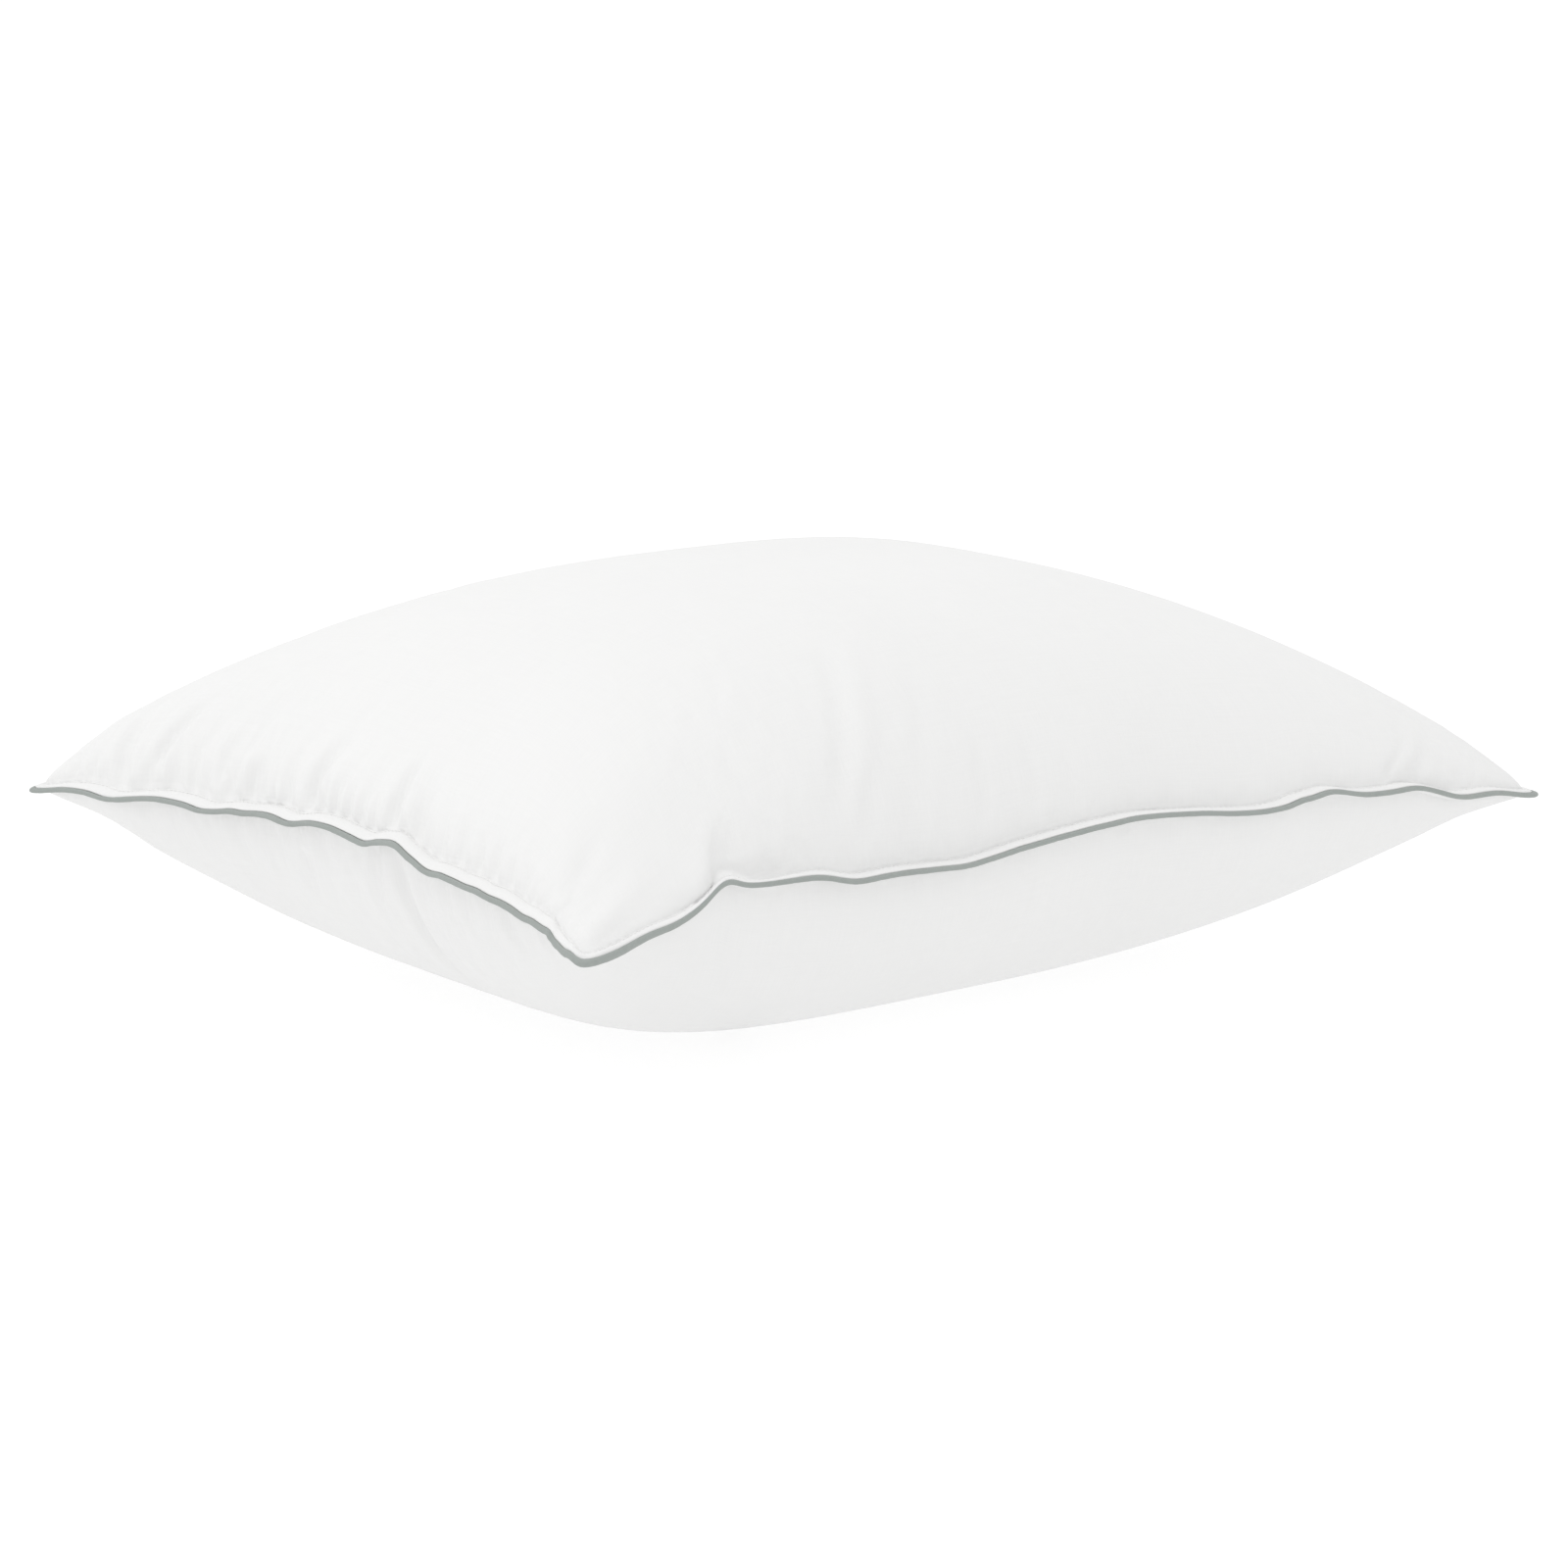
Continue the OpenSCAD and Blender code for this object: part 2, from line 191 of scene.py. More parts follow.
# Folds and hollows of the cloth: panel (0 top, 1 bottom), side, place, how far it leans
# sideways for each metre inwards, start and length inwards, half width, and height
FOLDS = [
    (0, WEST, 0.625, 0.10, 0.000, 0.052, 0.0060, -0.0037),
    (0, WEST, 0.585, 0.10, 0.000, 0.030, 0.0035, 0.0016),
    (0, WEST, 0.545, -0.30, 0.006, 0.050, 0.0032, -0.0032),
    (0, WEST, 0.513, 0.00, 0.000, 0.020, 0.0028, 0.0018),
    (0, WEST, 0.440, 0.05, 0.000, 0.020, 0.0030, -0.0011),
    (0, WEST, 0.378, -0.20, 0.006, 0.032, 0.0034, -0.0018),
    (0, WEST, 0.325, -0.20, 0.001, 0.026, 0.0026, 0.0022),
    (0, WEST, 0.300, -0.10, 0.001, 0.024, 0.0026, -0.0016),
    (0, WEST, 0.312, 0.10, 0.018, 0.046, 0.0050, -0.0016),
    (0, WEST, 0.255, 0.00, 0.000, 0.011, 0.0022, 0.0013),
    (0, WEST, 0.228, 0.00, 0.000, 0.012, 0.0022, 0.0013),
    (0, WEST, 0.148, -0.20, 0.000, 0.048, 0.0036, -0.0037),
    (0, WEST, 0.112, -0.05, 0.002, 0.030, 0.0030, 0.0015),
    (0, WEST, 0.080, 0.00, 0.001, 0.028, 0.0024, 0.0018),
    (0, WEST, 0.100, 0.10, 0.026, 0.056, 0.0055, -0.0016),
    (0, WEST, 0.043, 0.00, 0.000, 0.018, 0.0022, 0.0016),
    (0, WEST, 0.010, 0.00, 0.000, 0.020, 0.0022, 0.0016),
    (0, WEST, -0.020, 0.00, 0.000, 0.018, 0.0022, 0.0014),
    (0, WEST, -0.050, 0.00, 0.000, 0.020, 0.0022, 0.0016),
    (0, WEST, -0.088, -0.10, 0.000, 0.050, 0.0030, -0.0034),
    (0, WEST, -0.118, 0.00, 0.002, 0.040, 0.0030, 0.0014),
    (0, WEST, -0.166, 0.00, 0.000, 0.028, 0.0030, -0.0019),
    (0, WEST, -0.300, 0.00, 0.000, 0.020, 0.0030, -0.0010),
    (0, WEST, -0.420, 0.00, 0.000, 0.018, 0.0030, -0.0010),
    (0, WEST, -0.690, 0.00, 0.002, 0.020, 0.0024, -0.0012),
    (0, WEST, -0.700, 0.25, 0.010, 0.070, 0.0080, -0.0022),
    (0, WEST, -0.860, 0.30, 0.010, 0.090, 0.0140, 0.0030),
    (0, SOUTH, -0.590, 0.10, 0.000, 0.055, 0.0110, -0.0042),
    (0, SOUTH, -0.640, 0.10, 0.000, 0.050, 0.0080, 0.0025),
    (0, SOUTH, -0.500, 0.10, 0.000, 0.022, 0.0250, -0.0018),
    (0, SOUTH, -0.345, 0.35, 0.030, 0.110, 0.0060, -0.0016),
    (0, SOUTH, -0.305, 0.35, 0.030, 0.110, 0.0065, 0.0016),
    (0, SOUTH, -0.300, 0.20, 0.012, 0.050, 0.0050, -0.0012),
    (0, SOUTH, -0.185, 0.35, 0.035, 0.090, 0.0060, -0.0009),
    (0, SOUTH, -0.190, 0.30, 0.006, 0.030, 0.0040, 0.0009),
    (0, SOUTH, -0.080, 0.10, 0.010, 0.055, 0.0045, -0.0014),
    (0, SOUTH, 0.020, 0.00, 0.010, 0.060, 0.0045, -0.0013),
    (0, SOUTH, 0.085, -0.05, 0.004, 0.040, 0.0040, -0.0010),
    (0, SOUTH, 0.645, 0.60, 0.000, 0.044, 0.0020, 0.0012),
    (0, SOUTH, 0.632, 0.60, 0.000, 0.030, 0.0026, -0.0010),
    (1, WEST, 0.164, 0.10, 0.014, 0.042, 0.0026, -0.0024),
    (1, WEST, -0.050, 0.20, 0.000, 0.050, 0.0026, -0.0026),
    (1, WEST, -0.105, -0.12, 0.002, 0.105, 0.0030, -0.0038),
    (1, WEST, -0.130, -0.12, 0.006, 0.080, 0.0045, 0.0010),
    (1, WEST, -0.440, -0.40, 0.004, 0.045, 0.0040, -0.0022),
    (1, WEST, -0.600, -0.10, 0.010, 0.032, 0.0028, -0.0024),
    (1, WEST, -0.690, 0.00, 0.000, 0.018, 0.0024, -0.0010),
    (0, NORTH, -0.450, -0.20, 0.000, 0.060, 0.0110, -0.0050),
    (0, NORTH, -0.300, 0.20, 0.010, 0.080, 0.0055, -0.0015),
    (0, NORTH, -0.265, 0.20, 0.010, 0.070, 0.0055, 0.0013),
    (0, NORTH, 0.120, 0.10, 0.020, 0.080, 0.0060, -0.0011),
    (0, NORTH, 0.430, -0.20, 0.000, 0.060, 0.0055, -0.0016),
    (0, NORTH, 0.640, -0.50, 0.000, 0.045, 0.0030, 0.0013),
    (0, EAST, -0.560, 0.15, 0.000, 0.045, 0.0045, -0.0015),
    (0, EAST, -0.380, 0.10, 0.000, 0.050, 0.0040, -0.0015),
    (0, EAST, -0.200, 0.00, 0.000, 0.030, 0.0028, 0.0011),
    (0, EAST, -0.060, 0.00, 0.006, 0.048, 0.0040, -0.0012),
    (0, EAST, 0.130, -0.10, 0.000, 0.055, 0.0040, -0.0017),
    (0, EAST, 0.165, -0.10, 0.000, 0.040, 0.0032, 0.0010),
    (0, EAST, 0.310, 0.00, 0.000, 0.030, 0.0028, -0.0011),
    (0, EAST, 0.480, 0.10, 0.008, 0.045, 0.0045, -0.0013),
    (0, EAST, 0.660, 0.15, 0.000, 0.040, 0.0040, 0.0012),
    (1, EAST, -0.300, 0.15, 0.004, 0.070, 0.0042, -0.0018),
    (1, EAST, 0.080, -0.10, 0.004, 0.060, 0.0040, -0.0015),
    (1, EAST, 0.420, 0.10, 0.006, 0.080, 0.0045, -0.0018),
    (1, NORTH, -0.520, 0.10, 0.004, 0.060, 0.0050, -0.0014),
    (1, NORTH, 0.300, -0.15, 0.006, 0.070, 0.0050, -0.0013)]

# Cloth eased into the seam, which makes the wrinkles: panel (0 top, 1 bottom), side, place,
# half width, how far the wrinkles reach in from the seam, and the share of spare cloth
LONG_WRINKLES = [
    (0, WEST, 0.00, 0.90, 0.025, 0.018),
    (0, WEST, 0.45, 0.40, 0.055, 0.010),
    (0, SOUTH, -0.52, 0.10, 0.110, 0.010),
    (0, SOUTH, -0.28, 0.12, 0.080, 0.006),
    (0, SOUTH, 0.74, 0.10, 0.040, 0.014),
    (0, EAST, 0.00, 0.90, 0.035, 0.030),
    (0, EAST, 0.30, 0.30, 0.060, 0.020),
    (0, NORTH, 0.00, 0.95, 0.020, 0.010),
    (0, NORTH, -0.45, 0.14, 0.100, 0.012),
    (0, NORTH, 0.45, 0.14, 0.070, 0.010),
    (1, WEST, -0.10, 0.80, 0.030, 0.020),
    (1, WEST, -0.15, 0.25, 0.060, 0.018),
    (1, SOUTH, -0.85, 0.10, 0.030, 0.014),
    (1, EAST, 0.00, 0.85, 0.040, 0.024),
    (1, NORTH, 0.00, 0.90, 0.020, 0.010)]
# The same, for the small puckers right beside the seam
PUCKERS = [
    (0, WEST, 0.00, 0.95, 0.012, 0.035),
    (0, WEST, 0.05, 0.22, 0.018, 0.045),
    (0, SOUTH, 0.00, 0.97, 0.008, 0.012),
    (0, SOUTH, -0.88, 0.08, 0.016, 0.045),
    (0, EAST, 0.00, 0.95, 0.014, 0.035),
    (0, NORTH, 0.00, 0.95, 0.010, 0.020),
    (1, WEST, 0.00, 0.95, 0.010, 0.020),
    (1, SOUTH, 0.00, 0.95, 0.008, 0.010),
    (1, EAST, 0.00, 0.95, 0.012, 0.025),
    (1, NORTH, 0.00, 0.95, 0.010, 0.015)]

# Each pass of the simulation: how many times coarser its cells are, steps, stiffness,
# how many cells wide a bulge must be for the stuffing to hold it, and the spare cloth
PASSES = [
    (4, 240, 0.25, 4, LONG_WRINKLES),
    (2, 200, 0.22, 6, LONG_WRINKLES),
    (1, 140, 0.15, 8, LONG_WRINKLES + PUCKERS)]


# ---------------- shape of the pillow
def bump(t, middle, half_width):
    return np.exp(-((t - middle) / half_width) ** 2)


def noise_line(t, seed, waves, amount):
    """Seeded smooth noise along a side, made of a few sines."""
    rng = np.random.default_rng(seed)
    total = np.zeros_like(t)
    for wave in waves:
        total += math.sqrt(waves[0] / wave) * np.sin(math.pi * wave * t + rng.uniform(0, 2 * math.pi))
    return amount * total


def side_wave(side, t):
    """How far the seam rises and is drawn in at t along a side, from -1 to 1."""
    seed = 20 + [WEST, EAST, SOUTH, NORTH].index(side)
    waves = (7.3, 11.9, 17.7, 25.1) if side in (SOUTH, NORTH) else (6.1, 9.7, 14.9, 21.3)
    rise = noise_line(t, seed, waves, UNEVEN_RISE)
    drawn = noise_line(t, seed + 10, waves, UNEVEN_DRAW)
    for which, middle, half_width, up, inward in SEAM_WAVES:
        if which == side:
            rise = rise + up * bump(t, middle, half_width)
            drawn = drawn + inward * bump(t, middle, half_width)
    ends = 1 - np.abs(t) ** 10
    return rise * ends, drawn * ends


def seam_waves(u, v, reach=0.07):
    """Rise, drawing in and climb of the sewn edge; they fade out within reach of a side."""
    rise = np.zeros_like(u)
    drawn = np.zeros_like(u)
    climb = np.zeros_like(u)
    total = np.full_like(u, 1e-9)
    for side, along, across in ((WEST, v, 1 + u), (EAST, v, 1 - u), (SOUTH, u, 1 + v), (NORTH, u, 1 - v)):
        near = np.exp(-(across / reach) ** 2 / 2)
        side_rise, side_drawn = side_wave(side, along)
        rise = rise + near * side_rise
        drawn = drawn + near * side_drawn
        turned = sum(change * bump(along, place, wide) for which, place, wide, change in TURNED_UNDER
                     if which == side)
        climb = climb + near * (EDGE_TILTS[side] + turned)
        total = total + near
    climb = climb / np.maximum(total, 1)
    for corner_u, corner_v, drop, cut in CORNER_DROOPS:
        near = bump(u, corner_u, 0.10) * bump(v, corner_v, 0.12)
        rise = rise - drop * near
        drawn = drawn + cut * near
    return rise, drawn, climb


def plan_reach(half, pinch, across):
    """Half the pillow's size at a share across it; the sides pull in between the corners."""
    return half - pinch * (1 - np.abs(across) ** PINCH_POWER) - CORNER_CUT * np.abs(across) ** CORNER_POWER


def edge_point(u, v, inset, height):
    """Points on or near the seam: u and v on the unit square, inset from the piping's middle."""
    rise, drawn, climb = seam_waves(u, v)
    narrowed = CORNER_NARROWING * np.abs(u * v) ** 20 * np.maximum(inset - BORDER_START, 0)
    inset = inset + drawn - narrowed
    x = u * (plan_reach(HALF_LENGTH, END_PINCH, v) - inset)
    y = v * (plan_reach(HALF_WIDTH, SIDE_PINCH, u) - inset)
    seam = (SEAM_HEIGHT + SIDE_LIFT * (1 - u ** 2) * np.abs(v) ** 4
            + END_LIFT * (1 - v ** 2) * np.abs(u) ** 4)
    tilted = climb * np.clip(inset, 0, BORDER_END)
    return np.stack([x, y, seam + rise + tilted + height], -1)


def fullness(u, v, panel):
    """Share of the full height of a panel, from 0 at its rim to 1 in its middle."""
    share = np.maximum(0, (1 - np.abs(u) ** CROWN_POWER) * (1 - np.abs(v) ** CROWN_POWER))
    rim_power = RIM_POWERS[panel]
    for which, place_u, place_v, wide_u, wide_v, more in SOFT_RIMS:
        if which == panel:
            rim_power = rim_power + more * bump(u, place_u, wide_u) * bump(v, place_v, wide_v)
    return share ** rim_power


def on_surface(z):
    """Heights under the resting surface are laid flat on it, with an eased edge."""
    return np.where(z < -EASE, 0, np.where(z > EASE, z, (z + EASE) ** 2 / (4 * EASE)))


def top_shape(u, v):
    """The smooth top panel inside its border, at u and v on the unit square."""
    points = edge_point(u, v, BORDER_END, BORDER_TOP)
    rim = points[..., 2]
    points[..., 2] = rim + (CROWN_HEIGHT - rim) * fullness(u, v, 0)
    return points


def bottom_shape(u, v):
    """The smooth bottom panel, pressed flat where the pillow rests."""
    points = edge_point(u, v, BORDER_END, -BORDER_TOP)
    rim = points[..., 2]
    points[..., 2] = on_surface(rim - (rim + SINK) * fullness(u, v, 1))
    return points


def even_shares(shape, cells, along_u):
    """Shares from -1 to 1 that lie at even distances over the middle of a shape."""
    t = np.sin(np.linspace(-1, 1, 4001) * math.pi / 2)
    zero = np.zeros_like(t)
    line = shape(t, zero) if along_u else shape(zero, t)
    run = np.concatenate([[0], np.cumsum(np.linalg.norm(np.diff(line, axis=0), axis=1))])
    return np.interp(np.linspace(0, run[-1], cells + 1), run, t)


def grid_normals(points):
    normals = np.cross(np.gradient(points, axis=-2), np.gradient(points, axis=-3))
    return normals / (np.linalg.norm(normals, axis=-1, keepdims=True) + 1e-12)


def cloth_places(cells_x, cells_y):
    """For each side: place along it from -1 to 1 and distance in from it, over the flat cloth."""
    x = np.linspace(0, CUT_LENGTH, cells_x + 1)[None, :] + np.zeros((cells_y + 1, 1))
    y = np.linspace(0, CUT_WIDTH, cells_y + 1)[:, None] + np.zeros((1, cells_x + 1))
    along_x, along_y = 2 * x / CUT_LENGTH - 1, 2 * y / CUT_WIDTH - 1
    return {
        WEST: (along_y, x, CUT_WIDTH / 2), EAST: (along_y, CUT_LENGTH - x, CUT_WIDTH / 2),
        SOUTH: (along_x, y, CUT_LENGTH / 2), NORTH: (along_x, CUT_WIDTH - y, CUT_LENGTH / 2)}


def eased_step(value):
    value = np.clip(value, 0, 1)
    return value * value * (3 - 2 * value)


def fold_heights(panel, cells_x, cells_y):
    """How far the folds lift the cloth of a panel."""
    places = cloth_places(cells_x, cells_y)
    total = np.zeros((cells_y + 1, cells_x + 1))
    for which, side, place, lean, start, length, width, height in FOLDS:
        if which == panel:
            along, inward, half = places[side]
            share = (inward - start) / length
            across = (along - place) * half - lean * (inward - start)
            taper = eased_step(share / 0.2 + 0.1) * eased_step((1 - share) / 0.6)
            total += height * taper * np.exp(-(across / width) ** 2)
    return total


def smooth_grids(cells_x, cells_y):
    """Both panels before they wrinkle: points, and the shares u and v of each point."""
    points, shares = [], []
    for panel, shape in enumerate((top_shape, bottom_shape)):
        u, v = np.meshgrid(even_shares(shape, cells_x, True), even_shares(shape, cells_y, False))
        smooth = shape(u, v)
        lift = fold_heights(panel, cells_x, cells_y)
        lift[[0, -1]] = 0
        lift[:, [0, -1]] = 0
        outward = grid_normals(smooth) * (1 if panel == 0 else -1)
        points.append(smooth + lift[..., None] * outward)
        shares.append((u, v))
    return np.stack(points), shares


# ---------------- cloth simulation
def pull(a, b, rest, stretch, squeeze):
    """Moves pairs of points towards their rest distance, in place."""
    gap = b - a
    length = np.sqrt(np.einsum("...i,...i", gap, gap)) + 1e-12
    excess = length - rest
    step = (0.5 * np.where(excess > 0, stretch, squeeze) * excess / length)[..., None] * gap
    a += step
    b -= step


def blurred(values, cells):
    """Box blur, twice along each way of the grid; what lies past the edge counts as zero."""
    for axis in (1, 2):
        count = values.shape[axis]
        for _ in range(2):
            padding = [(0, 0)] * values.ndim
            padding[axis] = (cells + 1, cells)
            total = np.cumsum(np.pad(values, padding), axis=axis)
            ahead = np.take(total, range(2 * cells + 1, 2 * cells + 1 + count), axis=axis)
            behind = np.take(total, range(count), axis=axis)
            values = (ahead - behind) / (2 * cells + 1)
    return values


def spare_cloth(cells_x, cells_y, eased):
    """Share of spare cloth along x and along y at each point of both panels."""
    spare_x = np.zeros((2, cells_y + 1, cells_x + 1))
    spare_y = np.zeros_like(spare_x)
    places = cloth_places(cells_x, cells_y)
    for panel, side, middle, half_width, reach, amount in eased:
        along, inward, _ = places[side]
        spare = spare_y if side in (WEST, EAST) else spare_x
        ends = eased_step((1 - np.abs(along)) / 0.12)
        spare[panel] += amount * ends * np.exp(-((along - middle) / half_width) ** 4 - (inward / reach) ** 2)
    return spare_x, spare_y


# How strongly the simulated cloth answers at each step: the motion it keeps, threads along the
# weave when too long and too short, the same across the weave, and the stuffing's hold on
# bulges and on sideways drift
KEPT_MOTION = 0.9
STRETCH, SQUEEZE = 0.9, 0.6
SLANT_STRETCH, SLANT_SQUEEZE = 0.25, 0.05
BULGE_HOLD = 0.15
DRIFT_HOLD = 0.1


def relax(points, shape, spare_x, spare_y, steps, stiffness, blur_cells):
    """Lets the spare cloth buckle into wrinkles while the stuffing holds the broad shape.

    points start near shape. Threads keep their length, bending is resisted with
    stiffness, and whatever moves more broadly than blur_cells is pushed back."""
    rest_x = np.linalg.norm(np.diff(shape, axis=2), axis=-1)
    rest_y = np.linalg.norm(np.diff(shape, axis=1), axis=-1)
    rest_x = rest_x * (1 + (spare_x[:, :, 1:] + spare_x[:, :, :-1]) / 2)
    rest_y = rest_y * (1 + (spare_y[:, 1:] + spare_y[:, :-1]) / 2)
    bend_x = rest_x[:, :, 1:] + rest_x[:, :, :-1]
    bend_y = rest_y[:, 1:] + rest_y[:, :-1]
    slack = 1 + (spare_x + spare_y)[:, :-1, :-1] / 2
    diagonal = np.linalg.norm(shape[:, 1:, 1:] - shape[:, :-1, :-1], axis=-1) * slack
    counter = np.linalg.norm(shape[:, 1:, :-1] - shape[:, :-1, 1:], axis=-1) * slack
    normals = grid_normals(shape)
    edge = np.ones(shape.shape[1:3], bool)
    edge[1:-1, 1:-1] = False
    moved = np.zeros_like(points)
    for _ in range(steps):
        before = points.copy()
        points += KEPT_MOTION * moved
        for start in (0, 1):
            a, b, rest = points[:, :, start:-1:2], points[:, :, start + 1::2], rest_x[:, :, start::2]
            pull(a, b, rest, STRETCH, SQUEEZE)
            a, b, rest = points[:, start:-1:2], points[:, start + 1::2], rest_y[:, start::2]
            pull(a, b, rest, STRETCH, SQUEEZE)
        for start in (0, 1):
            a, b, rest = points[:, start:-1:2, :-1], points[:, start + 1::2, 1:], diagonal[:, start::2]
            pull(a, b, rest, SLANT_STRETCH, SLANT_SQUEEZE)
            a, b, rest = points[:, start:-1:2, 1:], points[:, start + 1::2, :-1], counter[:, start::2]
            pull(a, b, rest, SLANT_STRETCH, SLANT_SQUEEZE)
        for start in range(4):
            a, b, rest = points[:, :, start:-2:4], points[:, :, start + 2::4], bend_x[:, :, start::4]
            pull(a, b, rest, 0, stiffness)
            a, b, rest = points[:, start:-2:4], points[:, start + 2::4], bend_y[:, start::4]
            pull(a, b, rest, 0, stiffness)
        offset = points - shape
        outward = np.einsum("...i,...i", offset, normals)[..., None] * normals
        points -= BULGE_HOLD * blurred(outward, blur_cells) + DRIFT_HOLD * (offset - outward)
        points[:, edge] = shape[:, edge]
        points[1, ..., 2] = np.maximum(points[1, ..., 2], 0)
        moved = points - before
    return points


def doubled(values, axis):
    """Smooth interpolation half-way between grid points, by the four-point rule."""
    values = np.moveaxis(values, axis, 0)
    ends = np.concatenate([[2 * values[0] - values[1]], values, [2 * values[-1] - values[-2]]])
    middle = (9 * (ends[1:-2] + ends[2:-1]) - ends[:-3] - ends[3:]) / 16
    result = np.empty((2 * len(values) - 1,) + values.shape[1:])
    result[::2] = values
    result[1::2] = middle
    return np.moveaxis(result, 0, axis)


def simulate_cloth():
    """Both panels with their wrinkles, from a coarse grid to the full one."""
    rng = np.random.default_rng(4)
    hasty = 1
    bent = None
    for coarser, steps, stiffness, blur_cells, eased in PASSES:
        cells = CELLS_X // coarser, CELLS_Y // coarser
        shape, shares = smooth_grids(*cells)
        unevenness = blurred(rng.normal(0, 1, shape.shape[:3] + (1,)), 1) * 0.00015 * coarser
        start = shape + grid_normals(shape) * unevenness
        if bent is not None:
            start += doubled(doubled(bent, 1), 2)
        spare_x, spare_y = spare_cloth(*cells, eased)
        cloth = relax(start, shape, spare_x, spare_y, steps // hasty, stiffness, blur_cells)
        bent = cloth - shape
    return cloth, shape, shares


# ---------------- meshes
def make_piece(name, points, faces, material, uv=None):
    """A closed mesh from points and quads or triangles, smooth shaded."""
    mesh = bpy.data.meshes.new(name)
    mesh.from_pydata(np.asarray(points).reshape(-1, 3).tolist(), [], [list(face) for face in faces])
    mesh.polygons.foreach_set("use_smooth", np.ones(len(mesh.polygons), bool))
    if uv is not None:
        layer = mesh.uv_layers.new(name="cloth")
        corners = np.empty(len(mesh.loops), np.int32)
        mesh.loops.foreach_get("vertex_index", corners)
        layer.data.foreach_set("uv", np.asarray(uv).reshape(-1, 2)[corners].astype(np.float32).ravel())
    mesh.materials.append(material)
    mesh.validate()
    mesh.update()
    piece = bpy.data.objects.new(name, mesh)
    bpy.context.scene.collection.objects.link(piece)
    return piece


def grid_faces(rows, columns, first=0, turned=False):
    """Quads over a grid of points."""
    index = np.arange(rows * columns).reshape(rows, columns) + first
    corners = [index[:-1, :-1], index[:-1, 1:], index[1:, 1:], index[1:, :-1]]
    if turned:
        corners.reverse()
    return np.stack(corners, -1).reshape(-1, 4)


def rim_index(rows, columns, first=0):
    """The indices round the border of a grid, in order."""
    index = np.arange(rows * columns).reshape(rows, columns) + first
    return np.concatenate([index[0, :-1], index[:-1, -1], index[-1, :0:-1], index[:0:-1, 0]])


def band_faces(ring_a, ring_b, turned=False):
    """Quads between two closed rings of indices of the same length."""
    corners = [ring_a, ring_b, np.roll(ring_b, -1), np.roll(ring_a, -1)]
    if turned:
        corners.reverse()
    return np.stack(corners, -1)


def swept_faces(rings, sides):
    """Quads of a tube of rings that closes on itself both ways."""
    index = np.arange(rings * sides).reshape(rings, sides)
    after = np.roll(index, -1, 0)
    return np.stack([index, np.roll(index, -1, 1), np.roll(after, -1, 1), after], -1).reshape(-1, 4)


def seam_path(count_x, count_y):
    """Shares u and v round the unit square, evenly along each side."""
    x = np.linspace(-1, 1, count_x + 1)[:-1]
    y = np.linspace(-1, 1, count_y + 1)[:-1]
    u = np.concatenate([x, np.ones_like(y), -x, -np.ones_like(y)])
    v = np.concatenate([-np.ones_like(x), y, np.ones_like(x), -y])
    return u, v


def even_seam(spacing, inset=0.0, start=0.0, stop=1.0):
    """Shares u and v at an even spacing along the seam, from start to stop of its length."""
    u, v = seam_path(1600, 1400)
    line = edge_point(u, v, inset, 0)
    closed = np.concatenate([line, line[:1]])
    run = np.concatenate([[0], np.cumsum(np.linalg.norm(np.diff(closed, axis=0), axis=1))])
    count = int(round(run[-1] * (stop - start) / spacing))
    at = run[-1] * (start + (stop - start) * np.arange(count) / count) % run[-1]
    u, v = np.append(u, u[0]), np.append(v, v[0])
    return np.interp(at, run, u), np.interp(at, run, v)


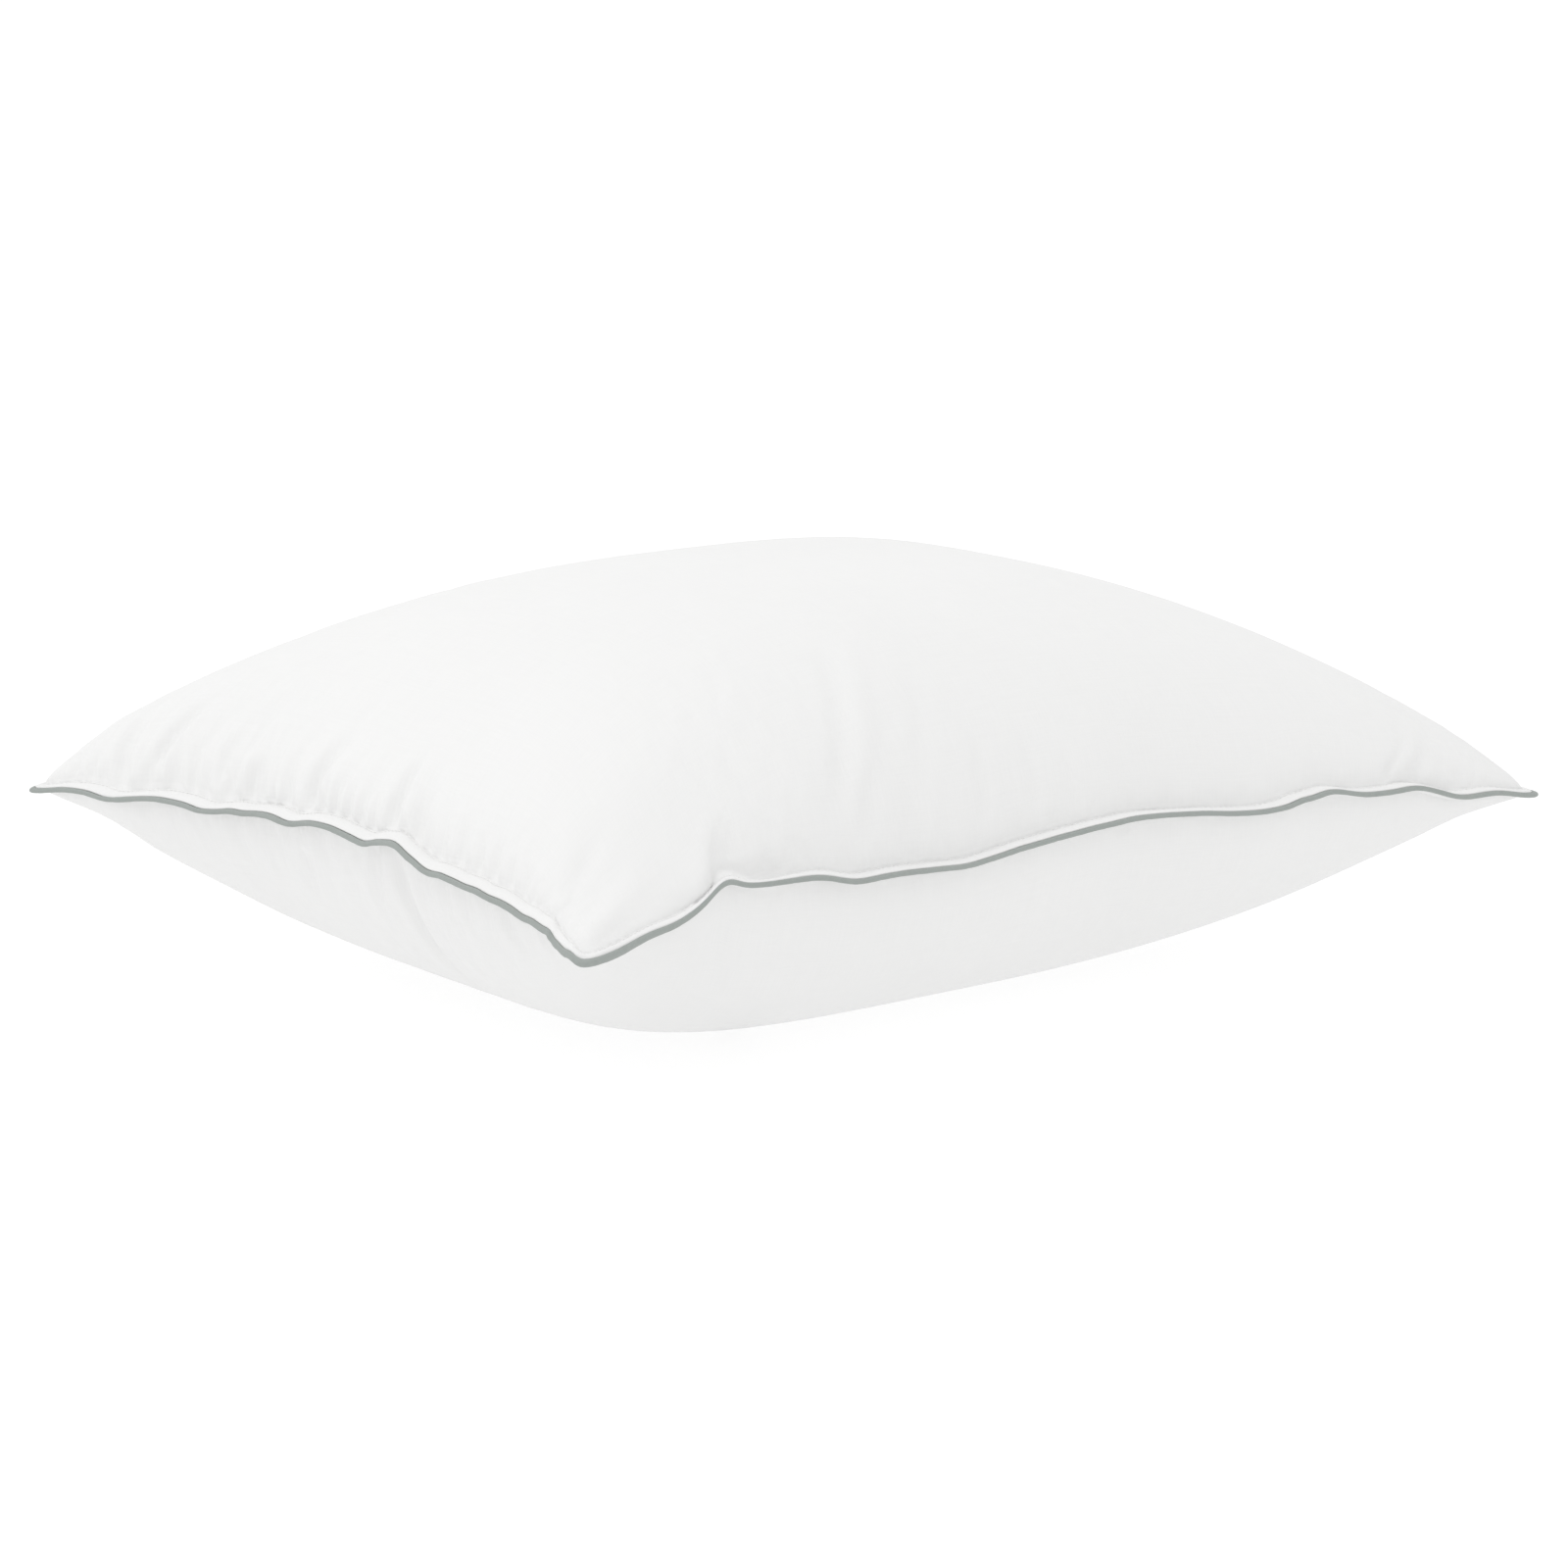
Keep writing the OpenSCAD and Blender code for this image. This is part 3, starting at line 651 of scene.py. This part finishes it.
def panel_piece(name, cloth, shares, side, material):
    """One panel as a closed shell: wrinkled face, border, hem and an inner face."""
    rows, columns = cloth.shape[:2]
    rim = rim_index(rows, columns)
    edge_u, edge_v = shares[0].ravel()[rim], shares[1].ravel()[rim]
    inner = (cloth - side * grid_normals(cloth) * INNER_GAP)[::2, ::2]
    # The section of the edge from the wrinkled face out to the fold and back inside
    section = [
        (BORDER_END - 0.0005, BORDER_TOP - 0.00010), (TOPSTITCH_LINE, BORDER_TOP - 0.00030),
        (TOPSTITCH_LINE - 0.0008, BORDER_TOP + 0.00005), (BORDER_START + 0.0022, BORDER_TOP + 0.00030),
        (BORDER_START + 0.0005, BORDER_TOP + 0.00005), (BORDER_START - 0.0002, BORDER_TOP - 0.0003),
        (BORDER_START - 0.0004, BORDER_TOP - 0.0006), (BORDER_START + 0.0001, TAPE_TOP + 0.00008),
        (ALLOWANCE_END, TAPE_TOP + 0.00008), (ALLOWANCE_END, ALLOWANCE_TOP),
        (BORDER_START + CLOTH_T, ALLOWANCE_TOP), (BORDER_START + CLOTH_T, BORDER_UNDER)]
    points = [cloth.reshape(-1, 3)]
    faces = [grid_faces(rows, columns, turned=side < 0)]
    flat_x, flat_y = np.meshgrid(np.linspace(-0.5, 0.5, columns), np.linspace(-0.5, 0.5, rows))
    size = np.array([CUT_LENGTH - 2 * BORDER_END, CUT_WIDTH - 2 * BORDER_END])
    uv = [np.stack([flat_x, flat_y], -1).reshape(-1, 2) * size]
    edge_uv = uv[0][rim]
    ring = rim
    count = rows * columns
    travelled = 0.0
    for inset, height in section:
        travelled += 0.001
        new_ring = np.arange(len(rim)) + count
        points.append(edge_point(edge_u, edge_v, inset, side * height))
        uv.append(edge_uv * (1 + travelled * np.array([4.0, 5.0])))
        faces.append(band_faces(ring, new_ring, turned=side < 0))
        ring = new_ring
        count += len(rim)
    # The inner face has half as many cells, so its rim takes two steps of the last ring
    inner_rows, inner_columns = inner.shape[:2]
    inner_rim = rim_index(inner_rows, inner_columns, count)
    inner.reshape(-1, 3)[inner_rim - count] = edge_point(
        edge_u[::2], edge_v[::2], BORDER_END, side * BORDER_UNDER)
    points.append(inner.reshape(-1, 3))
    uv.append(uv[0].reshape(rows, columns, 2)[::2, ::2].reshape(-1, 2))
    faces.append(grid_faces(inner_rows, inner_columns, count, turned=side > 0))
    even, odd, after = ring[::2], ring[1::2], np.roll(ring[::2], -1)
    fans = np.concatenate([
        np.stack([even, inner_rim, odd], -1),
        np.stack([odd, inner_rim, np.roll(inner_rim, -1)], -1),
        np.stack([odd, np.roll(inner_rim, -1), after], -1)])
    if side < 0:
        fans = fans[:, ::-1]
    all_faces = [face for group in faces for face in group.tolist()] + fans.tolist()
    return make_piece(name, np.concatenate(points), all_faces, material, np.concatenate(uv))


# ---------------- piping
def piping_swell(u, v):
    """Extra thickness of the piping: laps of the tape, bunched corners, and lumpy cloth."""
    # Places along the west and south sides; on the other sides they are far out of reach
    west = np.where(np.abs(u + 1) < 1e-6, v, -9)
    south = np.where(np.abs(v + 1) < 1e-6, u, 9)
    join = eased_step((west - 0.688) / 0.012) * eased_step((0.745 - west) / 0.012)
    # The ends of the tape lie over each other up to the near corner and a little past it
    lap = np.where(west > -8, eased_step((-0.835 - west) / 0.012), eased_step((-0.60 - south) / 0.30))
    lead = np.where(west > -8, eased_step((-0.35 - west) / 0.25), 0)
    folded_end = bump(west, -0.847, 0.007) - 0.6 * bump(west, -0.828, 0.007)
    bunched = bump(south, -0.92, 0.07)
    corner = np.abs(u * v) ** 24
    lumps = noise_line(u * 2.3 + v * 1.7, 31, (23.0, 41.0, 67.0), 0.016)
    swell = 0.16 * join + 0.12 * lead + 0.22 * lap + 0.18 * folded_end + 0.30 * bunched + 0.08 * corner
    return 1 + swell + lumps


def tape_piece(material):
    """Bias tape folded round the cord, with its two tails lying together in the seam."""
    u, v = even_seam(TAPE_RING, start=TAPE_JOIN, stop=TAPE_JOIN + 1)
    swell = piping_swell(u, v)
    steps = 15
    slit = 0.000025

    def arc(radius, mouth_z):
        mouth = math.asin(mouth_z / radius)
        turn = np.linspace(mouth, 2 * math.pi - mouth, steps + 1)
        return [(radius * math.cos(a), radius * math.sin(a), True) for a in turn]

    outside = arc(TAPE_R, TAPE_TOP)
    inside = arc(TAPE_R - TAPE_T, slit)
    section = ([(ALLOWANCE_END, TAPE_TOP, False)] + outside
               + [(ALLOWANCE_END, -TAPE_TOP, False), (ALLOWANCE_END, -slit, False)]
               + inside[::-1] + [(ALLOWANCE_END, slit, False)])
    rings, uv = [], []
    width = 0.0
    length = np.arange(len(u)) * TAPE_RING
    for number, (inset, height, swells) in enumerate(section):
        scale = swell if swells else 1.0
        rings.append(edge_point(u, v, TAPE_R - (TAPE_R - inset) * scale, height * scale))
        uv.append(np.stack([length, np.full_like(length, width)], -1))
        follower = section[(number + 1) % len(section)]
        width += math.hypot(follower[0] - inset, follower[1] - height)
    points = np.stack(rings, 1)
    faces = swept_faces(len(u), len(section))
    return make_piece("piping_tape_cloth", points, faces, material, np.stack(uv, 1))


def cord_piece(material):
    """Three strands twisted together, running round inside the tape."""
    u, v = even_seam(CORD_RING)
    sides = 18
    along = np.arange(len(u)) / len(u)
    rings = []
    for k in range(sides):
        angle = 2 * math.pi * k / sides
        radius = CORD_R * (0.90 + 0.08 * np.cos(3 * (angle - 2 * math.pi * CORD_TWISTS * along / 3)))
        rings.append(edge_point(u, v, radius * np.cos(angle), radius * np.sin(angle)))
    points = np.stack(rings, 1)
    return make_piece("piping_filler_cord", points, swept_faces(len(u), sides)[:, ::-1], material)


# ---------------- stitches
def tubes(paths, radius, sides):
    """Points and faces of capped tubes along paths of shape (runs, points, 3)."""
    runs, length = paths.shape[:2]
    along = np.gradient(paths, axis=1)
    along /= np.linalg.norm(along, axis=-1, keepdims=True) + 1e-12
    side = np.cross(along, np.array([0.13, 0.21, 1.0]))
    side /= np.linalg.norm(side, axis=-1, keepdims=True) + 1e-12
    up = np.cross(side, along)
    angle = 2 * math.pi * np.arange(sides) / sides
    radius = np.broadcast_to(radius, (length,))[None, :, None, None]
    ring = side[:, :, None] * np.cos(angle)[:, None] + up[:, :, None] * np.sin(angle)[:, None]
    points = paths[:, :, None] + radius * ring
    index = np.arange(runs * length * sides).reshape(runs, length, sides)
    after = np.roll(index, -1, 2)
    quads = np.stack([index[:, :-1], after[:, :-1], after[:, 1:], index[:, 1:]], -1).reshape(-1, 4)
    caps = index[:, 0, ::-1].tolist() + index[:, -1].tolist()
    return points.reshape(-1, 3), quads.tolist() + caps


def stitch_row(inset, height, face, start=0.0, stop=1.0):
    """Stitches along the seam on one face: each rises from a hole and dips into the next."""
    u, v = even_seam(STITCH / 6, inset, start, stop)
    count = len(u) // 6
    u, v = u[:count * 6].reshape(count, 6), v[:count * 6].reshape(count, 6)
    u, v = u[:, :5], v[:, :5]
    hump = np.array([-0.9, 0.55, 1.0, 0.55, -0.9]) * THREAD_R
    lean = np.array([-0.6, -0.25, 0.0, 0.25, 0.6]) * THREAD_R
    path = edge_point(u, v, inset + lean, face * (height + hump))
    return tubes(path, THREAD_R * np.array([0.7, 1.0, 1.05, 1.0, 0.7]), 6)


def joined(parts):
    """Points and faces of several parts as one."""
    points, faces = [], []
    count = 0
    for part_points, part_faces in parts:
        points.append(part_points)
        faces += [[i + count for i in face] for face in part_faces]
        count += len(part_points)
    return np.concatenate(points), faces


def overlock_stitches():
    """Loops that wrap the raw edges of both seam allowances."""
    u, v = even_seam(OVERLOCK_STITCH, ALLOWANCE_END)
    in_line, out_line = ALLOWANCE_END - 0.0026, ALLOWANCE_END + 0.00025
    high = ALLOWANCE_TOP + THREAD_R
    loop = [(in_line, high), (out_line - 0.0004, high), (out_line, 0.0), (out_line - 0.0004, -high),
            (in_line, -high)]
    next_u, next_v = np.roll(u, -1), np.roll(v, -1)
    near = np.abs(next_u - u) + np.abs(next_v - v) < 0.2
    path = []
    for number, (inset, height) in enumerate(loop):
        share = 0.5 * number / 4
        mixed_u = np.where(near, u + share * (next_u - u), u)
        mixed_v = np.where(near, v + share * (next_v - v), v)
        path.append(edge_point(mixed_u, mixed_v, inset, height))
    return tubes(np.stack(path, 1), THREAD_R, 5)


# ---------------- filling and label
def filling_piece(cloth, shape, shares, material):
    """Fluffy stuffing: fills the shell just inside the cloth, with a lumpy surface."""
    rng = np.random.default_rng(12)
    cloth, shape = cloth[:, ::2, ::2], shape[:, ::2, ::2]
    normals = grid_normals(cloth)
    normals[1] *= -1
    lumps = sum(blurred(rng.normal(0, 1, cloth.shape[:3] + (1,)), r) * r for r in (2, 4, 8))
    lumps = lumps / np.abs(lumps).max()
    held = blurred(cloth - shape, 2) + shape
    mass = held - normals * (0.0034 + 0.0022 * (lumps + 1) / 2)
    rows, columns = mass.shape[1:3]
    rim = rim_index(rows, columns)
    for panel, side in enumerate((1, -1)):
        u, v = (share[::2, ::2] for share in shares[panel])
        lip = edge_point(u.ravel()[rim], v.ravel()[rim], ALLOWANCE_END + 0.0020, side * BORDER_TOP)
        mass[panel].reshape(-1, 3)[rim] = lip
        # The stuffing does not reach into the thin tips of the corners
        tip = eased_step((np.abs(u * v) - 0.84) / 0.10)[..., None]
        mass[panel] += tip * (edge_point(0.92 * u, 0.92 * v, ALLOWANCE_END, side * 0.0010) - mass[panel])
    points = mass.reshape(-1, 3)
    faces = np.concatenate([
        grid_faces(rows, columns), grid_faces(rows, columns, rows * columns, turned=True),
        band_faces(rim, rim_index(rows, columns, rows * columns))])
    return make_piece("fibre_filling", points, faces.tolist(), material)


def label_piece(material):
    """A blank folded ribbon that hangs out of the seam behind the pillow."""
    width = label_high.x - label_low.x
    middle = (label_high.x + label_low.x) / 2
    across = np.linspace(-0.5, 0.5, 13)
    out = np.linspace(0, 1, 20)
    start = label_low.y + 0.002
    reach = label_high.y - start
    edge_z = edge_point(np.array([0.0]), np.array([1.0]), BORDER_START, -BORDER_TOP)[0, 2]
    run = start + reach * out
    drop = edge_z - 0.0022 - 0.008 * out ** 1.6
    gap = 0.0004 + 0.0008 * np.sin(math.pi * out)
    outline = [(y, z) for y, z in zip(run, drop)] + [
        (y, z - g) for y, z, g in zip(run[::-1], drop[::-1], gap[::-1])]
    thick = 0.00015
    inner = [(y - 0.0003 * k, z - thick) for k, (y, z) in zip(out, zip(run, drop))] + [
        (y - 0.0003 * k, z - g + thick) for k, y, z, g in zip(out[::-1], run[::-1], drop[::-1], gap[::-1])]
    section = outline + inner[::-1]
    sides = len(section)
    points, uv = [], []
    for a in across:
        curl = 0.0022 * (a * 2) ** 2 + 0.0006 * math.sin(7 * a)
        for number, (y, z) in enumerate(section):
            reach_share = (y - start) / reach
            points.append((middle + a * width, y, z - curl * reach_share ** 2))
            uv.append((a * width, number * 0.002))
    index = np.arange(len(across) * sides).reshape(len(across), sides)
    after = np.roll(index, -1, 1)
    quads = np.stack([index[:-1], after[:-1], after[1:], index[1:]], -1).reshape(-1, 4).tolist()
    half = len(outline)
    for row, flipped in ((index[0], True), (index[-1], False)):
        for k in range(half - 1):
            face = [row[k], row[k + 1], row[sides - 2 - k], row[sides - 1 - k]]
            quads.append(face if not flipped else face[::-1])
    return make_piece("blank_care_label", points, quads, material, uv)


# ---------------- materials
class Nodes:
    """A short way to build a material's nodes."""

    def __init__(self, name):
        self.material = bpy.data.materials.new(name)
        self.material.use_nodes = True
        self.tree = self.material.node_tree
        self.shader = self.tree.nodes["Principled BSDF"]

    def add(self, kind, values=None, **settings):
        node = self.tree.nodes.new(kind)
        for key, value in settings.items():
            setattr(node, key, value)
        for key, value in (values or {}).items():
            if isinstance(value, bpy.types.NodeSocket):
                self.tree.links.new(value, node.inputs[key])
            else:
                node.inputs[key].default_value = value
        return node

    def math(self, operation, a, b=0.0, clamp=False):
        node = self.add("ShaderNodeMath", {0: a, 1: b}, operation=operation, use_clamp=clamp)
        return node.outputs[0]

    def noise(self, vector, scale, detail=3.0):
        values = {"Vector": vector, "Scale": scale, "Detail": detail, "Roughness": 0.55}
        return self.add("ShaderNodeTexNoise", values).outputs["Fac"]

    def scaled(self, vector, scale, turn=0.0):
        values = {"Vector": vector, "Scale": scale, "Rotation": (0, 0, turn)}
        return self.add("ShaderNodeMapping", values).outputs["Vector"]

    def mixed(self, factor, a, b):
        node = self.add("ShaderNodeMix", {"Factor": factor}, data_type="RGBA")
        node.inputs["A"].default_value = (*a, 1)
        node.inputs["B"].default_value = (*b, 1)
        return node.outputs["Result"]

    def ranged(self, value, low, high, to_low, to_high):
        values = {"Value": value, "From Min": low, "From Max": high, "To Min": to_low, "To Max": to_high}
        return self.add("ShaderNodeMapRange", values).outputs["Result"]

    def finish(self, colour, roughness, height, distance, **constants):
        links = self.tree.links
        links.new(colour, self.shader.inputs["Base Color"])
        links.new(roughness, self.shader.inputs["Roughness"])
        bumped = self.add("ShaderNodeBump", {"Height": height, "Distance": distance, "Strength": 1.0})
        links.new(bumped.outputs["Normal"], self.shader.inputs["Normal"])
        for key, value in constants.items():
            self.shader.inputs[key.replace("_", " ")].default_value = value
        return self.material


def woven(name, colour_low, colour_high, thread, turn, depth, roughness, sheen):
    """Plain weave: threads over and under, uneven yarns, and soft changes of tone."""
    n = Nodes(name)
    place = n.add("ShaderNodeTexCoord").outputs["UV"]
    place = n.scaled(place, (1, 1, 1), turn)
    split = n.add("ShaderNodeSeparateXYZ", {"Vector": place})
    count = math.pi / thread
    warp = n.math("SINE", n.math("MULTIPLY", split.outputs["X"], count))
    weft = n.math("SINE", n.math("MULTIPLY", split.outputs["Y"], count))
    over = n.math("MULTIPLY", warp, weft)
    ribs = n.math("ADD", n.math("ABSOLUTE", warp), n.math("ABSOLUTE", weft))
    weave = n.math("ADD", n.math("MULTIPLY", over, 0.5), n.math("MULTIPLY", ribs, 0.5))
    slub_x = n.noise(n.scaled(place, (1500, 40, 1)), 1.0, 2.0)
    slub_y = n.noise(n.scaled(place, (40, 1500, 1)), 1.0, 2.0)
    slubs = n.math("ADD", slub_x, slub_y)
    cloud = n.noise(place, 9.0, 4.0)
    height = n.math("ADD", n.math("MULTIPLY", weave, 0.5), n.math("MULTIPLY", slubs, 0.9))
    tone = n.math("ADD", n.math("MULTIPLY", slubs, 0.35), n.math("MULTIPLY", cloud, 0.30))
    tone = n.math("ADD", tone, n.math("MULTIPLY", weave, 0.12))
    colour = n.mixed(n.ranged(tone, 0.30, 0.75, 0.0, 1.0), colour_low, colour_high)
    rough = n.ranged(slubs, 0.6, 1.4, roughness - 0.05, roughness + 0.05)
    return n.finish(
        colour, rough, height, depth, Sheen_Weight=sheen, Sheen_Roughness=0.4, Specular_IOR_Level=0.25)


def twisted(name, colour_low, colour_high, scale):
    """Spun thread or cord: fine slanted fibres."""
    n = Nodes(name)
    place = n.add("ShaderNodeTexCoord").outputs["Object"]
    fibres = n.noise(n.scaled(place, (scale, scale * 0.6, scale * 0.3), 0.7), 1.0, 4.0)
    colour = n.mixed(n.ranged(fibres, 0.3, 0.7, 0.0, 1.0), colour_low, colour_high)
    rough = n.ranged(fibres, 0.3, 0.7, 0.55, 0.75)
    return n.finish(colour, rough, fibres, 0.00006, Sheen_Weight=0.15, Specular_IOR_Level=0.3)


def fluffy(name):
    """Carded fibre: soft clumps crossed by fine curled fibres."""
    n = Nodes(name)
    place = n.add("ShaderNodeTexCoord").outputs["Object"]
    clumps = n.noise(place, 60.0, 3.0)
    fibres = n.noise(n.scaled(place, (900, 300, 500), 0.4), 1.0, 6.0)
    height = n.math("ADD", n.math("MULTIPLY", clumps, 0.8), n.math("MULTIPLY", fibres, 0.25))
    colour = n.mixed(n.ranged(height, 0.3, 0.75, 0.0, 1.0), (0.82, 0.82, 0.80), (0.94, 0.94, 0.93))
    rough = n.ranged(fibres, 0.3, 0.7, 0.85, 0.98)
    return n.finish(colour, rough, height, 0.0015, Sheen_Weight=0.4, Specular_IOR_Level=0.15)


def satin(name):
    """Ribbon with close cross ribs and a gentle shine."""
    n = Nodes(name)
    place = n.add("ShaderNodeTexCoord").outputs["UV"]
    split = n.add("ShaderNodeSeparateXYZ", {"Vector": place})
    ribs = n.math("SINE", n.math("MULTIPLY", split.outputs["Y"], math.pi / 0.0003))
    cloud = n.noise(place, 120.0, 3.0)
    colour = n.mixed(cloud, (0.80, 0.80, 0.79), (0.88, 0.88, 0.87))
    rough = n.ranged(cloud, 0.3, 0.7, 0.32, 0.42)
    return n.finish(colour, rough, ribs, 0.00002, Specular_IOR_Level=0.5)


# ---------------- light, floor and camera
def build_stage():
    """White room, pale floor and two soft lights."""
    scene = bpy.context.scene
    scene.view_settings.view_transform = "Standard"
    scene.view_settings.look = "None"
    world = bpy.data.worlds.new("soft white room")
    world.use_nodes = True
    world.node_tree.nodes["Background"].inputs["Color"].default_value = (1.0, 1.0, 1.0, 1)
    world.node_tree.nodes["Background"].inputs["Strength"].default_value = 1.0
    scene.world = world

    floor_size = 60.0
    mesh = bpy.data.meshes.new("pale_floor")
    corners = [(-1, -1), (1, -1), (1, 1), (-1, 1)]
    mesh.from_pydata([(x * floor_size / 2, y * floor_size / 2, 0) for x, y in corners], [], [(0, 1, 2, 3)])
    floor = bpy.data.objects.new("pale_floor", mesh)
    scene.collection.objects.link(floor)
    paper = bpy.data.materials.new("pale_paper")
    paper.use_nodes = True
    shader = paper.node_tree.nodes["Principled BSDF"]
    shader.inputs["Base Color"].default_value = (0.30, 0.30, 0.30, 1)
    shader.inputs["Roughness"].default_value = 0.9
    shader.inputs["Specular IOR Level"].default_value = 0.1
    shader.inputs["Emission Color"].default_value = (1, 1, 1, 1)
    shader.inputs["Emission Strength"].default_value = 0.74
    mesh.materials.append(paper)

    def area_light(name, place, aim, size, power):
        data = bpy.data.lights.new(name, "AREA")
        data.shape = "DISK"
        data.size = size
        data.energy = power
        light = bpy.data.objects.new(name, data)
        light.location = place
        direction = np.array(aim, float) - np.array(place, float)
        yaw = math.atan2(direction[1], direction[0]) - math.pi / 2
        pitch = math.atan2(direction[2], math.hypot(direction[0], direction[1])) + math.pi / 2
        light.rotation_euler = (pitch, 0, yaw)
        scene.collection.objects.link(light)

    area_light("soft_key", (-1.1, 0.25, 2.5), (0, 0, 0.1), 0.9, 8.6)
    area_light("side_light", (-1.9, 1.3, 0.8), (0, 0, 0.1), 0.5, 1.0)


def build_camera():
    """A long lens on the near corner, which is the west end of the south side."""
    azimuth, elevation = math.radians(-37.81), math.radians(11.87)
    distance, slide, climb = 2.2156, 0.0035, -0.0162
    back = np.array([
        math.sin(azimuth) * math.cos(elevation),
        -math.cos(azimuth) * math.cos(elevation),
        math.sin(elevation)])
    right = np.array([math.cos(azimuth), math.sin(azimuth), 0])
    up = np.cross(back, right)
    data = bpy.data.cameras.new("camera")
    data.sensor_width = 36
    data.lens = 103.05
    camera = bpy.data.objects.new("camera", data)
    camera.location = np.array([0, 0, 0.105]) + right * slide + up * climb + back * distance
    camera.rotation_euler = (math.pi / 2 - elevation, 0, azimuth)
    bpy.context.scene.collection.objects.link(camera)
    bpy.context.scene.camera = camera


# ---------------- the pillow
def hand_over(piece, slot, *nodes):
    """Puts a piece on the root body and hides the CAD nodes that it stands for; the slot argument is not
    used.
    """
    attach(piece, "root")
    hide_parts(*nodes)
    return piece


build_camera()
build_stage()

white_cotton = woven(
    "white_cotton", (0.79, 0.79, 0.786), (0.83, 0.83, 0.826), 0.00042, 0.0, 0.00005, 0.82, 0.10)
grey_cotton = woven(
    "grey_cotton", (0.29, 0.315, 0.30), (0.365, 0.39, 0.375), 0.00038, math.pi / 4, 0.00005, 0.85, 0.08)
white_thread = twisted("white_thread", (0.84, 0.84, 0.83), (0.93, 0.93, 0.92), 9000)
undyed_cord = twisted("undyed_cord", (0.72, 0.69, 0.62), (0.84, 0.81, 0.75), 5000)
white_fibre = fluffy("white_fibre")
label_satin = satin("label_satin")

cloth, shape, shares = simulate_cloth()
top = panel_piece("top_panel_cloth", cloth[0], shares[0], 1, white_cotton)
bottom = panel_piece("bottom_panel_cloth", cloth[1], shares[1], -1, white_cotton)
hand_over(top, "shell_cotton", "top_panel")
hand_over(bottom, "shell_cotton", "bottom_panel")

tape = hand_over(tape_piece(grey_cotton), "piping_cotton", "piping_tape")
hand_over(cord_piece(undyed_cord), "filler_cord", "piping_cord")
filling = hand_over(filling_piece(cloth, shape, shares, white_fibre), "fibre_filling", "filling")

seam_rows = joined([stitch_row(SEAM_LINE, ALLOWANCE_TOP + THREAD_R, face) for face in (1, -1)])
hand_over(make_piece("seam_stitches", *seam_rows, white_thread), "sewing_thread", "seam_thread")
hand_over(
    make_piece("overlock_stitches", *overlock_stitches(), white_thread), "sewing_thread", "overlock_thread")
hand_over(
    make_piece("topstitch_needle_row", *stitch_row(TOPSTITCH_LINE, BORDER_TOP - 0.00018, 1), white_thread),
    "sewing_thread", "topstitch_needle_thread")
hand_over(
    make_piece("topstitch_bobbin_row", *stitch_row(TOPSTITCH_LINE, BORDER_TOP - 0.00018, -1), white_thread),
    "sewing_thread", "topstitch_bobbin_thread")
closing_rows = joined([
    stitch_row(CLOSING_LINE, BORDER_TOP + 0.0001, face, CLOSING_FROM, CLOSING_TO) for face in (1, -1)])
hand_over(make_piece("closing_stitches", *closing_rows, white_thread), "sewing_thread", "closing_thread")
label = hand_over(label_piece(label_satin), "label_satin", "care_label")
